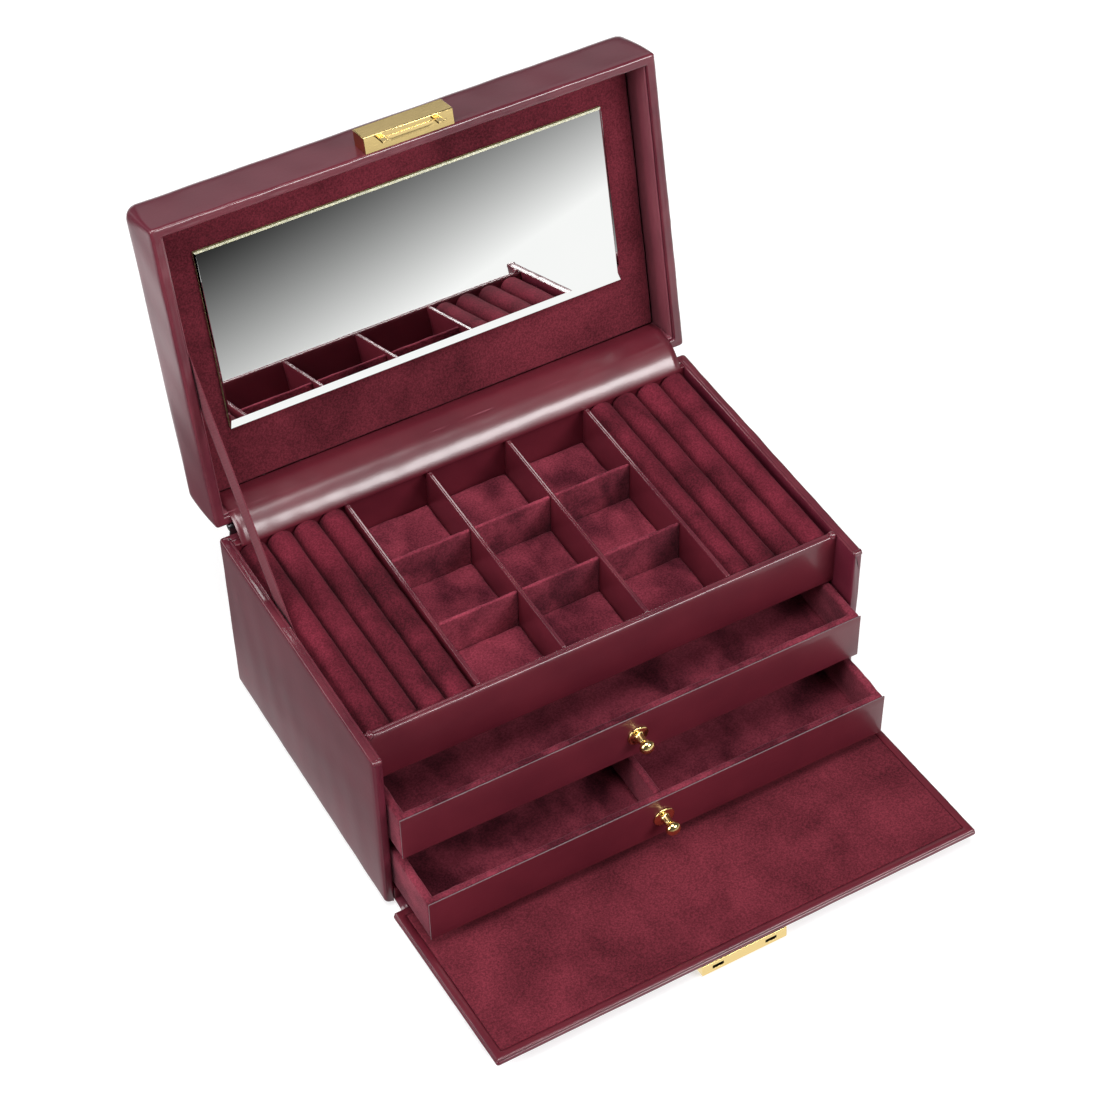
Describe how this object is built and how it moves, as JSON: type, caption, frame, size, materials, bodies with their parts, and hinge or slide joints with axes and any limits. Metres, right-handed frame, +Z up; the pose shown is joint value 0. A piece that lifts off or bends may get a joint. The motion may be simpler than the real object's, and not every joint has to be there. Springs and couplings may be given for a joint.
{
  "type": "leather jewellery case",
  "caption": "Leather jewellery case: hinged lid with mirror, top tray with cells and ring rolls, two knobbed drawers and a fold-down front flap with a brass lock.",
  "frame": {"origin": "middle of the plinth's underside, on the table", "axes": "+X to the right seen from the front, +Y to the back where the lid is hinged, +Z up"},
  "size_m": [0.28, 0.3613, 0.2993],
  "materials": {
    "outer_leather": "smooth glazed burgundy leather",
    "smooth_leather": "thin glossy burgundy lining leather",
    "velour": "burgundy velour with a brushed, cloudy nap",
    "ribbon": "dusty rose grosgrain ribbon",
    "felt": "felt-covered plinth",
    "board": "grey-brown bookbinder's board and plywood",
    "polished_brass": "polished and lacquered",
    "steel": "blackened spring steel",
    "mirror_glass": "bevelled glass mirror"
  },
  "bodies": {
    "case": {"back_panel": "outer_leather", "base_board": "board", "bay_linings": "velour", "cell_pads": "velour", "cross_dividers": "velour", "drawer_shelf": "board", "flap_hinge_strip": "outer_leather", "hinge_cover_case": "outer_leather", "hinge_gusset": "smooth_leather", "hinge_leaf_case": "steel", "hinge_pin": "steel", "lid_stay_ribbon": "ribbon", "plinth": "felt", "ring_beds": "velour", "ring_roll_left_1": "velour", "ring_roll_left_2": "velour", "ring_roll_left_3": "velour", "ring_roll_left_4": "velour", "ring_roll_right_1": "velour", "ring_roll_right_2": "velour", "ring_roll_right_3": "velour", "ring_roll_right_4": "velour", "side_panel_left": "outer_leather", "side_panel_right": "outer_leather", "tray_back_wall": "smooth_leather", "tray_divider_1": "smooth_leather", "tray_divider_2": "smooth_leather", "tray_divider_3": "smooth_leather", "tray_divider_4": "smooth_leather", "tray_floor": "board", "tray_front_wall": "smooth_leather"},
    "lid": {"lid_frame": "board", "lid_top_board": "board", "lid_cover": "outer_leather", "lid_wall_lining": "smooth_leather", "lid_panel": "velour", "lid_filler": "board", "mirror": "mirror_glass", "hinge_leaf_lid": "steel", "hinge_cover_lid": "outer_leather", "lid_lock_case": "polished_brass", "lid_lock_plate": "polished_brass", "lid_lock_hooks": "polished_brass"},
    "flap": {"flap_panel": "outer_leather", "flap_lining": "velour", "flap_lock_case": "polished_brass", "bolt_spring": "steel"},
    "upper_drawer": {"upper_drawer_box": "velour", "upper_drawer_face": "smooth_leather", "upper_drawer_pad": "velour", "upper_knob": "polished_brass", "upper_knob_screw": "steel"},
    "lower_drawer": {"lower_drawer_box": "velour", "lower_drawer_face": "smooth_leather", "lower_drawer_pad": "velour", "lower_drawer_divider": "velour", "lower_knob": "polished_brass", "lower_knob_screw": "steel"},
    "lock_button": {"lock_button": "polished_brass"},
    "lock_bolt": {"lock_bolt": "steel"}
  },
  "joints": [
    {"name": "lid_hinge", "type": "hinge", "parent": "case", "child": "lid", "pos_m": [0, 0.0892, 0.1164], "axis": [1, 0, 0], "range_deg": [0, 101.64], "deforming": ["hinge_gusset", "lid_stay_ribbon"]},
    {"name": "flap_hinge", "type": "hinge", "parent": "case", "child": "flap", "pos_m": [0, -0.09067, 0.00064], "axis": [-1, 0, 0], "range_deg": [0, 85.38], "deforming": ["flap_hinge_strip"]},
    {"name": "upper_drawer_slide", "type": "slide", "parent": "case", "child": "upper_drawer", "axis": [0, 1, 0], "range_m": [0, 0.0377]},
    {"name": "lower_drawer_slide", "type": "slide", "parent": "case", "child": "lower_drawer", "axis": [0, 1, 0], "range_m": [0, 0.064]},
    {"name": "lock_button_press", "type": "slide", "parent": "flap", "child": "lock_button", "axis": [0, 0.0805, 0.9968], "range_m": [0, 0.0015], "stiffness_N_per_m": 250, "springref_m": -0.001},
    {"name": "lock_bolt_slide", "type": "slide", "parent": "flap", "child": "lock_bolt", "axis": [1, 0, 0], "range_m": [0, 0.0012], "deforming": ["bolt_spring"]}
  ],
  "couplings": [
    {"joint": "upper_drawer_slide", "follows": "flap_hinge", "m_per_rad": 0.025299},
    {"joint": "lower_drawer_slide", "follows": "flap_hinge", "m_per_rad": 0.042948},
    {"joint": "lock_bolt_slide", "follows": "lock_button_press", "ratio": 0.8}
  ]
}
